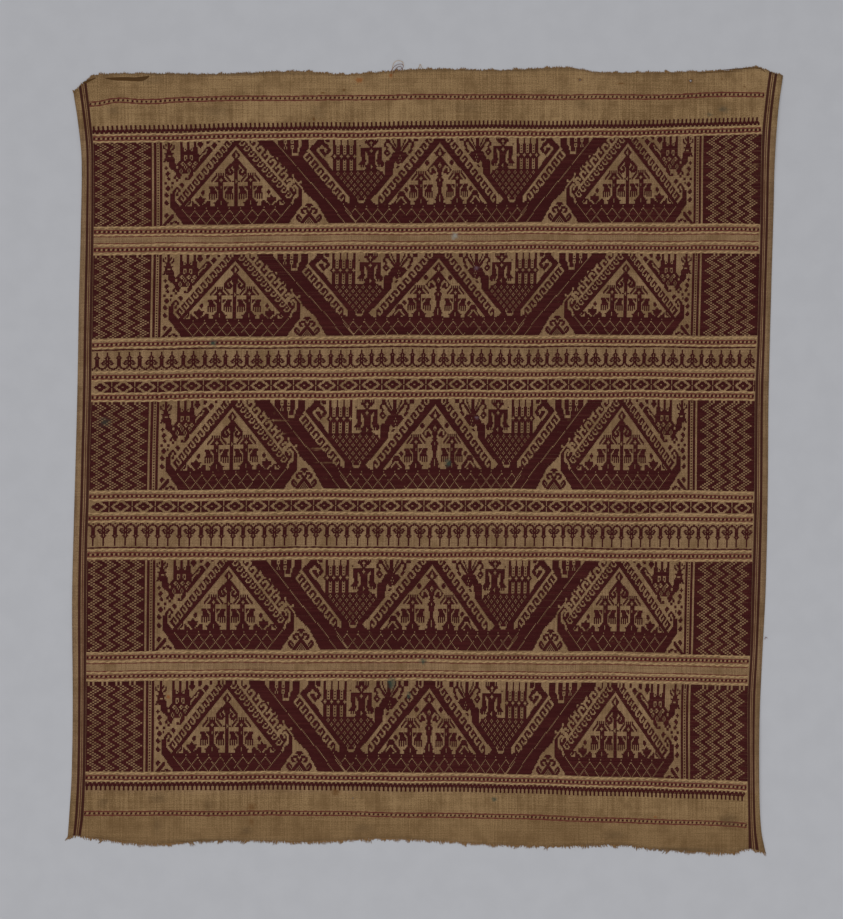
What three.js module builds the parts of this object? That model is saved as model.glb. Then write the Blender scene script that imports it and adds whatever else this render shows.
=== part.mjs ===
import * as THREE from 'three';

// Ceremonial cloth laid flat, face up, in millimetres.
// +X runs along the weft, +Y along the warp towards the upper end band and +Z out of the face.
// The origin is on the surface that the cloth lies on, under the middle of its bounding box.

const CLOTH_THICKNESS = 1.2;       // ground weave with the pattern wefts floating on it
const COLUMNS = 32;                // facets across the cloth
const ROWS = 34;                   // facets along the cloth
const TONE = 0x8b7350;
const ROUGHNESS = 0.95;

// The four corners of the woven panel: two are flared, and the upper left one is turned in.
const CORNERS = {
  upperLeft: { x: -336.7, y: 352.6 },
  upperRight: { x: 342.1, y: 367.7 },
  lowerLeft: { x: -342.1, y: -359.5 },
  lowerRight: { x: 325.5, y: -375.4 },
};

// Each edge is a short table of stations between its two corners.
// The selvedges give the place across the cloth, and the frayed ends the place along it.
const LEFT_SELVEDGE = [
  { y: -344.0, x: -341.0 },
  { y: -300.9, x: -338.4 },
  { y: -229.0, x: -337.3 },
  { y: -133.5, x: -337.8 },
  { y: -57.0, x: -336.2 },
  { y: 0.5, x: -334.6 },
  { y: 67.5, x: -332.9 },
  { y: 153.6, x: -331.4 },
  { y: 220.6, x: -329.7 },
  { y: 287.6, x: -328.7 },
  { y: 322.0, x: -332.0 },
];

const RIGHT_SELVEDGE = [
  { y: -353.5, x: 321.2 },
  { y: -315.3, x: 319.3 },
  { y: -248.3, x: 319.6 },
  { y: -181.3, x: 322.6 },
  { y: -124.0, x: 325.5 },
  { y: -37.7, x: 327.5 },
  { y: 58.0, x: 328.3 },
  { y: 153.6, x: 330.6 },
  { y: 239.8, x: 333.1 },
  { y: 287.6, x: 334.2 },
  { y: 336.0, x: 337.6 },
];

const UPPER_END = [
  { x: -325.8, y: 361.5 },
  { x: -316.0, y: 368.3 },
  { x: -263.0, y: 369.6 },
  { x: -207.0, y: 369.0 },
  { x: -118.0, y: 371.8 },
  { x: -77.0, y: 368.9 },
  { x: -5.0, y: 373.8 },
  { x: 73.0, y: 372.8 },
  { x: 137.0, y: 375.4 },
  { x: 163.0, y: 371.0 },
  { x: 230.0, y: 371.0 },
  { x: 294.0, y: 373.0 },
  { x: 316.0, y: 375.9 },
  { x: 331.6, y: 371.0 },
];

const LOWER_END = [
  { x: -335.4, y: -358.5 },
  { x: -311.7, y: -361.5 },
  { x: -261.0, y: -366.6 },
  { x: -208.5, y: -363.2 },
  { x: -152.8, y: -363.0 },
  { x: -116.5, y: -364.4 },
  { x: -40.7, y: -361.2 },
  { x: 22.5, y: -364.0 },
  { x: 65.6, y: -366.8 },
  { x: 125.5, y: -368.2 },
  { x: 186.0, y: -367.0 },
  { x: 227.0, y: -371.5 },
  { x: 292.0, y: -374.9 },
  { x: 310.0, y: -370.8 },
];

// Low swells where the old cloth doesn't lie quite flat.
// across and along are the half sizes, turn is in degrees and rise is the height at the crest.
const SWELLS = [
  { x: -262, y: 352, across: 96, along: 30, turn: 1, rise: 1.5 },
  { x: -330, y: 306, across: 34, along: 110, turn: -3, rise: 1.0 },
  { x: 326, y: 322, across: 40, along: 96, turn: 6, rise: 1.6 },
  { x: 118, y: 356, across: 120, along: 28, turn: -1, rise: 1.1 },
  { x: -334, y: -150, across: 30, along: 130, turn: 2, rise: 0.9 },
  { x: 318, y: -300, across: 42, along: 110, turn: -4, rise: 1.8 },
  { x: -180, y: -352, across: 110, along: 30, turn: 2, rise: 1.2 },
  { x: 175, y: -356, across: 130, along: 30, turn: -2, rise: 1.5 },
];

// Smooth curve through stations ordered along one axis
function curveThrough(stations, along, across) {
  const rows = [...stations].sort((a, b) => a[along] - b[along]);
  return (place) => {
    let i = 0;
    while (i < rows.length - 2 && rows[i + 1][along] < place) {
      i += 1;
    }
    const before = rows[Math.max(i - 1, 0)];
    const start = rows[i];
    const end = rows[i + 1];
    const after = rows[Math.min(i + 2, rows.length - 1)];
    const span = end[along] - start[along];
    const t = THREE.MathUtils.clamp((place - start[along]) / span, 0, 1);
    const slopeIn = (end[across] - before[across]) / (end[along] - before[along]);
    const slopeOut = (after[across] - start[across]) / (after[along] - start[along]);
    const eased = t * t * (3 - 2 * t);
    const level = start[across] + (end[across] - start[across]) * eased;
    const bendIn = slopeIn * span * t * (1 - t) * (1 - t);
    const bendOut = slopeOut * span * t * t * (1 - t);
    return level + bendIn - bendOut;
  };
}

function edgeAlong(corners, stations, along, across) {
  const [start, end] = corners;
  const curve = curveThrough([start, ...stations, end], along, across);
  return (fraction) => {
    const place = THREE.MathUtils.lerp(start[along], end[along], fraction);
    const point = new THREE.Vector2();
    point[along] = place;
    point[across] = curve(place);
    return point;
  };
}

const leftEdge = edgeAlong([CORNERS.lowerLeft, CORNERS.upperLeft], LEFT_SELVEDGE, 'y', 'x');
const rightEdge = edgeAlong([CORNERS.lowerRight, CORNERS.upperRight], RIGHT_SELVEDGE, 'y', 'x');
const lowerEdge = edgeAlong([CORNERS.lowerLeft, CORNERS.lowerRight], LOWER_END, 'x', 'y');
const upperEdge = edgeAlong([CORNERS.upperLeft, CORNERS.upperRight], UPPER_END, 'x', 'y');

// Place in the panel for a fraction u across and v along, blended from the four edges
function placeInPanel(u, v) {
  const point = new THREE.Vector2();
  point.addScaledVector(lowerEdge(u), 1 - v);
  point.addScaledVector(upperEdge(u), v);
  point.addScaledVector(leftEdge(v), 1 - u);
  point.addScaledVector(rightEdge(v), u);
  point.addScaledVector(new THREE.Vector2().copy(CORNERS.lowerLeft), -(1 - u) * (1 - v));
  point.addScaledVector(new THREE.Vector2().copy(CORNERS.lowerRight), -u * (1 - v));
  point.addScaledVector(new THREE.Vector2().copy(CORNERS.upperLeft), -(1 - u) * v);
  point.addScaledVector(new THREE.Vector2().copy(CORNERS.upperRight), -u * v);
  return point;
}

// Height of the underside, which is zero wherever the cloth touches the surface
function swellAt(point) {
  let height = 0;
  for (const swell of SWELLS) {
    const angle = THREE.MathUtils.degToRad(swell.turn);
    const dx = point.x - swell.x;
    const dy = point.y - swell.y;
    const across = (dx * Math.cos(angle) + dy * Math.sin(angle)) / swell.across;
    const along = (dy * Math.cos(angle) - dx * Math.sin(angle)) / swell.along;
    const reach = Math.min(Math.hypot(across, along), 1);
    height += swell.rise * (0.5 + 0.5 * Math.cos(Math.PI * reach));
  }
  return height;
}

function makePanelGeometry() {
  const positions = [];
  const layerSize = (COLUMNS + 1) * (ROWS + 1);
  for (const lift of [CLOTH_THICKNESS, 0]) {
    for (let row = 0; row <= ROWS; row += 1) {
      for (let column = 0; column <= COLUMNS; column += 1) {
        const point = placeInPanel(column / COLUMNS, row / ROWS);
        positions.push(point.x, point.y, swellAt(point) + lift);
      }
    }
  }
  const top = (column, row) => row * (COLUMNS + 1) + column;
  const under = (column, row) => layerSize + top(column, row);
  const triangles = [];
  const quad = (a, b, c, d) => triangles.push(a, b, c, a, c, d);
  for (let row = 0; row < ROWS; row += 1) {
    for (let column = 0; column < COLUMNS; column += 1) {
      const right = column + 1;
      const up = row + 1;
      quad(top(column, row), top(right, row), top(right, up), top(column, up));
      quad(under(column, row), under(column, up), under(right, up), under(right, row));
    }
  }
  for (let column = 0; column < COLUMNS; column += 1) {
    const right = column + 1;
    quad(under(column, 0), under(right, 0), top(right, 0), top(column, 0));
    quad(under(right, ROWS), under(column, ROWS), top(column, ROWS), top(right, ROWS));
  }
  for (let row = 0; row < ROWS; row += 1) {
    const up = row + 1;
    quad(under(0, up), under(0, row), top(0, row), top(0, up));
    quad(under(COLUMNS, row), under(COLUMNS, up), top(COLUMNS, up), top(COLUMNS, row));
  }
  const geometry = new THREE.BufferGeometry();
  geometry.setAttribute('position', new THREE.Float32BufferAttribute(positions, 3));
  geometry.setIndex(triangles);
  geometry.computeVertexNormals();
  return geometry;
}

function makeWovenPanel() {
  const material = new THREE.MeshStandardMaterial({ color: TONE, roughness: ROUGHNESS, metalness: 0 });
  const panel = new THREE.Mesh(makePanelGeometry(), material);
  panel.name = 'woven_panel';
  return panel;
}

const cloth = new THREE.Group();
cloth.add(makeWovenPanel());

export default cloth;
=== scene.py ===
"""Tampan ceremonial cloth: one woven cotton panel with a ship design in supplementary weft, laid flat.

The ground weave is a thin sheet. Each float of the pattern wefts is a small crowned strip on it, set out from
weavers' drafts that are charted here.
"""

import contextlib
import copy
import math

import bpy
import numpy as np
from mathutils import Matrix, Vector


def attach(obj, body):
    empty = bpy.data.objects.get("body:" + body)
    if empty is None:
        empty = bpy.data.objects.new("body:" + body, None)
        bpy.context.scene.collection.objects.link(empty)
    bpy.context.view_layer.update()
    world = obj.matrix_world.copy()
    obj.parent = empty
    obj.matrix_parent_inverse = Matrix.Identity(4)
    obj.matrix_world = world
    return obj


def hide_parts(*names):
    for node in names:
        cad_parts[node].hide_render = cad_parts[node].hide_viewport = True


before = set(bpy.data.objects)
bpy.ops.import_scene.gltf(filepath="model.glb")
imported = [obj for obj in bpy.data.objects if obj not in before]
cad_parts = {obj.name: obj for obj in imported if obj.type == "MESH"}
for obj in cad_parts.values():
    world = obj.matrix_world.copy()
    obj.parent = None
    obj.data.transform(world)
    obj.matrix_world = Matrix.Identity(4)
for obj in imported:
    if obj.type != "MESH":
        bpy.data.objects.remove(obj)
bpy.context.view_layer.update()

bl_info = {
    "name": "Tampan ceremonial cloth",
    "version": (1, 0, 0),
    "blender": (4, 5, 0),
    "location": "3D View > Sidebar > Tampan",
    "description": "Builds a hand-woven ship cloth, yarn by yarn, with its worn edges and stains",
    "category": "Add Mesh",
}

MM = 0.001

# The outline of the panel in millimetres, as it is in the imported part.
UPPER_LEFT = (-336.7, 352.6)
UPPER_RIGHT = (342.1, 367.7)
LOWER_LEFT = (-342.1, -359.5)
LOWER_RIGHT = (325.5, -375.4)

# Selvedges: place along the cloth, place across it.
LEFT_SELVEDGE = (
    (-344, -341), (-300.9, -338.4), (-229, -337.3), (-133.5, -337.8), (-57, -336.2), (0.5, -334.6),
    (67.5, -332.9), (153.6, -331.4), (220.6, -329.7), (287.6, -328.7), (322, -332),
)
RIGHT_SELVEDGE = (
    (-353.5, 321.2), (-315.3, 319.3), (-248.3, 319.6), (-181.3, 322.6), (-124, 325.5), (-37.7, 327.5),
    (58, 328.3), (153.6, 330.6), (239.8, 333.1), (287.6, 334.2), (336, 337.6),
)

# Cut ends: place across the cloth, place along it.
UPPER_END = (
    (-325.8, 361.5), (-316, 368.3), (-263, 369.6), (-207, 369), (-118, 371.8), (-77, 368.9), (-5, 373.8),
    (73, 372.8), (137, 375.4), (163, 371), (230, 371), (294, 373), (316, 375.9), (331.6, 371),
)
LOWER_END = (
    (-335.4, -358.5), (-311.7, -361.5), (-261, -366.6), (-208.5, -363.2), (-152.8, -363), (-116.5, -364.4),
    (-40.7, -361.2), (22.5, -364), (65.6, -366.8), (125.5, -368.2), (186, -367), (227, -371.5),
    (292, -374.9), (310, -370.8),
)

# Low swells: across, along, half size across, half size along, turn in degrees, rise.
SWELLS = (
    (-262, 352, 96, 30, 1, 1.5), (-330, 306, 34, 110, -3, 1), (326, 322, 40, 96, 6, 1.6),
    (118, 356, 120, 28, -1, 1.1), (-334, -150, 30, 130, 2, 0.9), (318, -300, 42, 110, -4, 1.8),
    (-180, -352, 110, 30, 2, 1.2), (175, -356, 130, 30, -2, 1.5),
)

# Where the patterned field meets the striped selvedges: place along the cloth, place across it.
FIELD_LEFT = (
    (-368, -330.5), (-357.4, -329.1), (-339.2, -326.7), (-300.9, -325.1), (-219.6, -324.3),
    (-133.4, -323.8), (-76, -323.1), (-37.8, -321.7), (10.1, -320.8), (57.9, -319.5), (115.4, -318.8),
    (220.6, -317.1), (287.6, -317.1), (303.9, -317.5), (342.2, -321.3), (352.7, -322.6), (369, -324.5),
)
FIELD_RIGHT = (
    (-368.8, 308.8), (-305.7, 308.1), (-229.2, 308.2), (-181.3, 310.9), (-133.4, 312), (-80.8, 313.5),
    (-37.8, 314.5), (67.5, 315.4), (115.4, 317.5), (226.4, 320.4), (311.6, 321.7), (349.9, 325.5),
    (373.8, 328.8),
)

# The wefts bow a little. Place along the cloth, then how far a weft hangs at the left and at the right.
WEFT_BOW = (
    (-370, -1, 10.5), (-339, -0.9, 10), (-299, -0.4, 8.5), (-211, 0.1, 4.2), (-185, 0.5, 4.1),
    (-95, 0.5, 2.3), (-60, 0.4, 2), (-30, 1.9, 2.7), (58, 2.7, 1.3), (118, 3.4, 0.7), (198, 2.5, 0.8),
    (226, 3, 0), (308, 4.5, -1.2), (322, 4.7, -0.6), (347, 4, 1.2),
)

# Pattern cell, share of the field's width: the weaver's pace wasn't quite even.
CELL_SHARES = (
    (0, 0), (59, 0.1024), (123, 0.2121), (188, 0.322), (307, 0.5195), (425, 0.6993), (490, 0.8009),
    (554, 0.8996), (619, 1),
)


def dotted(rib_top, top, bottom, low_rib_top):
    """A row of squares between two ribs."""
    rib_height = 1.6
    return (("rib", rib_top, rib_top - rib_height), ("dots", top, bottom),
            ("rib", low_rib_top, low_rib_top - rib_height))


# The courses from the upper end to the lower one: what is woven, its upper and its lower limit at mid cloth.
COURSES = (
    ("end_dots", 350.1, 345.3), ("teeth", 324.8, 316.9), ("rib", 316.7, 315.3), ("dots", 314.4, 310),
    ("rib", 309.9, 308.3), ("ships", 307.9, 226.2), *dotted(226.2, 223, 219.1, 218.8),
    ("red_line", 216.8, 216), ("red_line", 210.3, 209.5), *dotted(209.1, 205.9, 201.6, 200.4),
    ("ships", 198.4, 120), *dotted(119.1, 115.9, 112, 111.7), ("dark_line", 109.2, 108.4),
    ("spears", 106.5, 89), *dotted(88.2, 84.6, 80.5, 80.3), ("stars", 77.9, 67.5),
    *dotted(67.6, 65.1, 60.7, 60.4), ("ships", 58.5, -26.9), *dotted(-27.4, -31, -34.9, -35.7),
    ("stars", -38, -48.7),
    *dotted(-49.4, -52.8, -56.6, -57.4), ("spears_down", -59.8, -81.7), ("dark_line", -82.9, -83.7),
    *dotted(-84.4, -87.7, -92, -92.8), ("ships", -95.2, -182.5), *dotted(-182.5, -185.7, -189.7, -190.9),
    ("red_line", -193.2, -194), ("red_line", -200.7, -201.5), *dotted(-201.6, -204.5, -207.9, -208.7),
    ("ships", -211.1, -298.3), *dotted(-298.9, -302, -306.3, -306.6), ("teeth_down", -308.4, -316.6),
    ("end_dots", -336.6, -341.2),
)
# How many rows lower the ships sit in each of the five ship bands.
SHIP_DROPS = (0, 1, 1, 0, 2)

# Stains, each row of one kind: place across, place along, half size across, half size along, strength.
STAINS = (
    ("green", (-203, 112.5, 4.6, 4, 0.85), (21.6, -2.3, 4.5, 5.5, 0.85), (-32.5, -213, 5, 8, 0.9),
     (-2.3, -192, 4.4, 3.8, 0.85), (-306.6, 36.9, 7, 6, 0.5), (-16, -225, 2.6, 5, 0.7),
     (66, -324, 3.5, 3, 0.8)),
    ("smudge", (285, 336, 7, 5, 0.6), (272, 331, 4, 3, 0.6)),
    ("rust", (-86, -317, 6.5, 4.5, 0.8), (-166, -331, 6.5, 5, 0.7)),
    ("orange", (-63, 364, 5.2, 3.6, 0.8)),
    ("rust", (156, 211, 3, 2, 0.7), (148, 364, 3.5, 2.5, 0.6)),
    ("orange", (-246, -226, 2.5, 2.5, 0.9)),
    ("worn", (28, 215, 4, 4.5, 0.9)),
    ("violet", (49, 184, 3.5, 2.5, 0.6), (49, 41, 3, 2, 0.6)),
    ("bare", (-142, 38.4, 13, 1.1, 0.8), (-101, 11.4, 12, 1.2, 0.8), (-92, -2, 16, 1, 0.5),
     (-136, 25.6, 5, 1, 0.6), (-104, 9.8, 4, 0.9, 0.6), (316, 283, 4, 2, 0.6), (-293, 252, 26, 1.8, 0.35)),
    ("soil", (-256, -323, 11, 7, 0.45), (-171, -354, 8, 5, 0.5), (-208, -330, 5, 12, 0.3),
     (-308, -327, 8, 7, 0.4), (-257, -349, 5, 13, 0.35), (-299, 335, 9, 6, 0.4), (-201, 333, 18, 8, 0.35),
     (-103, 333, 9, 8, 0.35), (290, -344, 14, 9, 0.5), (-60, -352, 14, 8, 0.35), (180, -358, 16, 6, 0.35),
     (40, 338, 22, 7, 0.25), (150, 340, 14, 7, 0.25), (-262, 363, 20, 4, 0.3), (-190, 370, 110, 2, 0.5),
     (60, 374, 110, 2, 0.3), (-215, -364, 60, 2.5, 0.4), (245, -372, 60, 3, 0.5)),
    ("orange", (-33, 368, 2.5, 3, 0.8)),
    ("rust", (-78, 354.6, 2.2, 1.4, 0.9), (-98, 351.8, 3, 1.3, 0.9), (-187, 364, 1.2, 1.2, 0.9),
     (-106.6, 326.8, 1.6, 2.6, 0.9), (305, 357.5, 2, 1.4, 0.8), (187, 360.7, 6, 1.4, 0.8),
     (284, 365, 1.4, 1.4, 0.8)),
    ("orange", (220, -341, 2, 1.4, 0.7)),
    ("rust", (-166, -345, 3, 6, 0.5)),
)

# Where the hem or the weft is pulled: across, along, half size across, half size along, how far up.
PULLS = (
    (-318, 345, 30, 34, -3), (-300, 345, 26, 20, 1.2), (-262, 345, 34, 30, -1.6),
    (330, 325, 130, 100, 3.2), (286, 345, 50, 30, 1.6),
)
# Moth holes: place across, place along, half size.
HOLES = (
    (253.8, 363.2, 2), (-69.3, -323, 0.8), (148, 364, 0.9),
)
# Painted shadows in the folds at the upper hem: dark strips laid where the creases are in shade, each a run
# of (place across, place along, half width).
FOLD_SHADOWS = (
    ((-306, 365.6, 0.3), (-297, 364.9, 1.5), (-287, 364.9, 1.8), (-278, 364.5, 1.9), (-270, 365.1, 2.1),
     (-264, 367.6, 0.5)),
    ((-327.8, 361.4, 0.3), (-324.6, 361.9, 1.1), (-321, 363.6, 1.1), (-315, 366, 0.3)),
    ((279, 373, 0.2), (296, 374.4, 0.35), (318, 375.3, 0.35), (325, 371.5, 0.2)),
    ((262, 370.5, 0.2), (280, 371.8, 0.3), (300, 372.6, 0.2)),
)
# Loose ends of yarn: whether it is red, its height above the cloth, its run of (place across, place along).
LOOSE_YARNS = (
    (True, 1.2, ((-33, 368), (-32, 373.5), (-28, 377.8), (-22.6, 379), (-21.2, 376), (-26, 372.5))),
    (False, 1.6, ((-32, 371), (-30.5, 379), (-27, 382), (-22, 381.2), (-21, 377.5))),
    (True, 0.9, ((-31, 370), (-27.5, 375.5), (-23.5, 376.6), (-22, 374))),
    (False, 0.8, ((-6.5, 374), (-5, 378.8), (-3.5, 375.4))),
    (True, 0.8, ((327, -170), (325.5, -169), (324.6, -171))),
)

FIELD_CELLS = 619
SHIP_ROWS = 64
SHIP_START, SHIP_END = 59, 554
SHIP_MIDDLE = 306.5
PALE = False
DARK = True


class Draft:
    """A weaver's squared draft, cells across and rows down, DARK where a pattern weft floats on the face.

    A route is written "cell,row cell,row ..." and counted from the origin. The pale pen takes floats out.
    """

    def __init__(self, cells, rows):
        self.grid = np.zeros((rows, cells), dtype=bool)
        self.c, self.r = np.meshgrid(np.arange(cells) + 0.5, np.arange(rows) + 0.5)
        self.setting = {"axis": None, "origin": (0, 0)}
        self.ink = DARK
        self.pale = copy.copy(self)
        self.pale.ink = PALE

    @contextlib.contextmanager
    def set_to(self, **setting):
        """A setting that holds for the shapes of one block."""
        before = dict(self.setting)
        self.setting.update(setting)
        yield
        self.setting.update(before)

    def mirrored(self, axis):
        """Each shape is drawn a second time, turned over at this cell."""
        return self.set_to(axis=self.setting["origin"][0] + axis)

    def counted_from(self, c, r=0):
        return self.set_to(origin=(c, r))

    def routes(self, route):
        if isinstance(route, str):
            route = [[float(number) for number in point.split(",")] for point in route.split()]
        c0, r0 = self.setting["origin"]
        placed = [(c0 + c, r0 + r) for c, r in route]
        yield placed
        if self.setting["axis"] is not None:
            yield [(2 * self.setting["axis"] - c, r) for c, r in placed]

    def area(self, route):
        for corners in self.routes(route):
            inside = np.zeros(self.grid.shape, dtype=bool)
            for (c0, r0), (c1, r1) in zip(corners, corners[1:] + corners[:1]):
                if r0 != r1:
                    crossed = (self.r < r0) != (self.r < r1)
                    inside ^= crossed & (self.c < c0 + (self.r - r0) * (c1 - c0) / (r1 - r0))
            self.grid[inside] = self.ink

    def box(self, c0, r0, c1, r1):
        self.area([(c0, r0), (c1, r0), (c1, r1), (c0, r1)])

    def dot(self, c, r):
        """One cell, its middle at c and its top at r."""
        self.box(c - 0.5, r, c + 0.5, r + 1)

    def line(self, width, route):
        for corners in self.routes(route):
            for (c0, r0), (c1, r1) in zip(corners, corners[1:]):
                dc, dr = c1 - c0, r1 - r0
                along = np.clip(((self.c - c0) * dc + (self.r - r0) * dr) / (dc * dc + dr * dr), 0, 1)
                away = np.hypot(self.c - c0 - along * dc, self.r - r0 - along * dr)
                self.grid[away <= width / 2] = self.ink

    def diamond(self, c, r, wide, tall=None, turned=False):
        for [(c0, r0)] in self.routes([(c, r)]):
            reach = np.abs(self.c - c0) / wide + np.abs(self.r - r0) / (tall or wide)
            self.grid[reach <= 1] = self.ink != turned

    def eye(self, c, r, outer, inner):
        self.diamond(c, r, outer)
        self.diamond(c, r, inner, turned=True)

    def row_of_stamps(self, count, step, corner, rows):
        """A small motif charted row by row, X for a cell it inks, set off by one step each time."""
        for i in range(count):
            for down, row in enumerate(rows, corner[1] + round(i * step[1])):
                for right, mark in enumerate(row, corner[0] + round(i * step[0])):
                    if mark == "X" and 0 <= down < len(self.grid):
                        self.grid[down, right] = self.ink

    def row_of_hooks(self, count, step, stem, hook, widths=(1.8, 1.45)):
        """Running hooks: a stem that ends in a thinner turned-back tip, set off by one step each time."""
        for i in range(count):
            for width, route in zip(widths, (stem, hook)):
                with self.counted_from(i * step[0], i * step[1]):
                    self.line(width, route)


BEAM_HOOK = ("..XXX...",
             "XXXXXX..",
             "XX..XXX.",
             "....XXX.",
             "...XXX..",
             "..XXX...",
             ".XXX....")
GABLE_HOOK = ("....XX",
              "..XX..",
              ".X...X",
              "XX..XX",
              ".XXXX.")
TOOTH = (".X..",
         ".X..",
         ".X..",
         "XXX.",
         "XXXX",
         "X..X")


def plume_and_small_bird(d, p):
    d.area("63.4,3 64.6,0 65.4,0 66.8,3 66.2,5 67.6,8.5 66.8,10 63.4,10 62.4,8.5 64,5")
    with d.mirrored(65.1):
        d.box(66.9, 1.2, 68.2, 3)
        d.line(1.3, "69.6,2.6 69.2,4.2 66.6,6.4")
        d.line(1.2, "68.4,8.4 66.4,8")
        d.box(66.6, 8, 67.8, 13)
    d.area("60.4,15.3 60.6,12.5 63,11.4 69,11.4 70.3,13 70.6,17.5 74,14.5 91,14.5 91.5,17 89.6,21 86.5,23.5 "
           "86,26 84,28 82.4,29 80,29 78.8,27.8 79.2,26.6 82,26.4 82.8,24.2 75.6,24.2 75.4,27.4 72.6,27.8 "
           "72.2,26.4 71,26.4 70.6,27.8 69,27.6 69.4,25.6 71.2,24.8 71,23.4 65,18.6 64.7,15.4 63.6,15.4 "
           "63,13.8 62.2,13.8 61.8,15.3")
    p.box(81, 26.4, 82.2, 27.6)
    for post in (76.1, 82.0, 87.9):
        d.box(post - 1, 0, post + 1.1, 15)
    d.box(74.9, 3.6, 90.2, 15)
    for c in (79.1, 84.9):
        with d.counted_from(c):
            p.box(-1.9, 0, 1.9, 4)
            p.area("-1.5,4 1.5,4 1.5,5.4 0,7.6 -1.5,5.4")
            d.dot(0, 4.8)
            p.area("-1.5,9.6 1.5,9.6 1.5,13 0,15 -1.5,13")
            d.box(-0.5, 11.2, 0.5, 12.8)
    d.area("90,9 91.4,10.2 92.6,10.4 97.2,5 100.6,3.6 103,7.2 90,20 90,14.6")
    p.line(1.5, "98,6.4 97.4,8 92.2,12 91.2,14")
    for c, r in ((77.3, 16.4), (83.3, 16.4), (88.3, 16.6), (71.9, 19), (79.6, 19), (86.3, 19.2), (75.4, 22),
                 (82.2, 22)):
        p.eye(c, r, 1.9, 0.8)


def loose_fillers(d, p):
    for c, r, reach in (
            (92.6, 2, 2.6), (104.7, 3.2, 2.6), (99.2, 0.8, 1.6), (109, 0.2, 1.6), (62.8, 19.6, 1.4),
            (63.7, 23.6, 2.3), (64.7, 27.9, 1.7), (61.9, 30.9, 1.3), (67.9, 30.9, 1.4), (72, 29, 1.9),
            (76.3, 32.8, 2.3), (67.4, 33.8, 0.8), (64, 35.4, 2.6), (62.6, 40.3, 2.3), (62.7, 46.2, 2.3),
            (62.7, 55.8, 2.4)):
        d.diamond(c, r, reach)
    d.line(2.6, "60.4,63.5 68.2,56.6")
    d.diamond(67.6, 57, 1.6)
    d.line(1.6, "66.6,62.2 70.4,60.8 73.4,62.2")
    p.diamond(69.8, 62.4, 1.3)


def figure(d, p, c):
    """A figure under a rayed roof, both arms hanging, centred on cell c."""
    with d.counted_from(c):
        d.area("-1.5,26 1.5,26 6.2,31.4 -6.2,31.4")
        with d.mirrored(0):
            for ray in (0, 2, 4):
                d.box(ray - 0.5, 24, ray + 0.5, 27)
            d.line(1.1, "5,26.8 8,30.2")
            d.area("2.2,33.6 10.8,33.6 10.6,35.6 8.9,38 10.4,39.8 10.6,43.6 3,43.6 2.2,38")
            p.line(1.35, "6.6,33.4 3.1,38.4 2.9,43 5,45.4")
            for finger in (4.6, 6.6, 8.6):
                p.box(finger - 0.5, 40.4, finger + 0.5, 43.8)
            d.area("0,42 1.9,43.2 6.2,46.6 4.8,48 5.6,49 0,49")
        d.box(-2, 30, 2, 49)
        for row, wide, tall in ((29.6, 1.1, 1.5), (35.4, 0.8, 1.1), (46.8, 1.1, 1.4)):
            p.diamond(0, row, wide, tall)


def hull_lattice(p, start, end, count):
    """Crossed pale lines along a hull, with small pale dots above and below them."""
    pitch = (end - start) / count
    for i in range(count):
        left = start + i * pitch
        middle, right = left + pitch / 2, left + pitch
        p.line(0.66, f"{left},57.5 {middle},52 {right},57.5 {middle},62.6 {left},57.5")
        p.dot(middle, 50)
        p.box(left - 0.5, 62.8, left + 0.5, 64)


def stern_beam(d, p):
    d.area("133.6,-1 168.6,34 173,30.5 174.4,28.4 179.4,32.2 182,35.6 184.6,39.8 192.4,45.6 195,47.4 "
           "206.4,63.2 306.5,63.2 306.5,-1")
    p.row_of_stamps(8, (5.2, 5), (132, -6), BEAM_HOOK)
    for c, r in ((151.5, 8.4), (156, 12.7), (160.3, 13.7), (162.5, 18.7), (166.3, 21.4), (168.3, 23.2),
                 (174, 27), (181, 32)):
        p.diamond(c, r, 1.2)
    p.area("187.6,-1 197.4,-1 188.8,7 186,9 183.6,11 187.6,7.4")
    p.line(2.4, "188.4,8.4 224.2,44.4")
    p.area("220.6,42 225.3,44.6 225.2,48.4 221.2,47")
    p.row_of_hooks(7, (5.1, 5.05), "187.9,9.6 183.9,12.9", "183.8,13.2 186.8,15.9 189.2,13.5")
    # the thin line that runs down the beam, and the small stands above it
    p.line(0.68, "157,0 161.5,4.6 168,11 177.5,20 185,28 195,37 208.5,49.6 221,63")
    p.area("156.2,-1 161,-1 161,2.4 161.8,5.2")
    for c, r in ((167.3, 1.5), (173.5, 1.5), (173.5, 5.6)):
        p.box(c - 1.5, r - 1.5, c + 1.5, r + 1.5)
        d.dot(c, r - 0.5)
    p.line(1, "167.4,3.4 167.4,4.4 166.4,6.4")
    p.line(1, "167.6,4.4 168.6,6.4")
    p.box(173, 7, 174.1, 10)
    p.box(173, 9.9, 179, 11.7)
    p.area("178.8,-1 182.2,-1 181.8,4.6 179.8,6.6 179.4,10 178,10 177.6,7.6 179,5")


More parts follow.
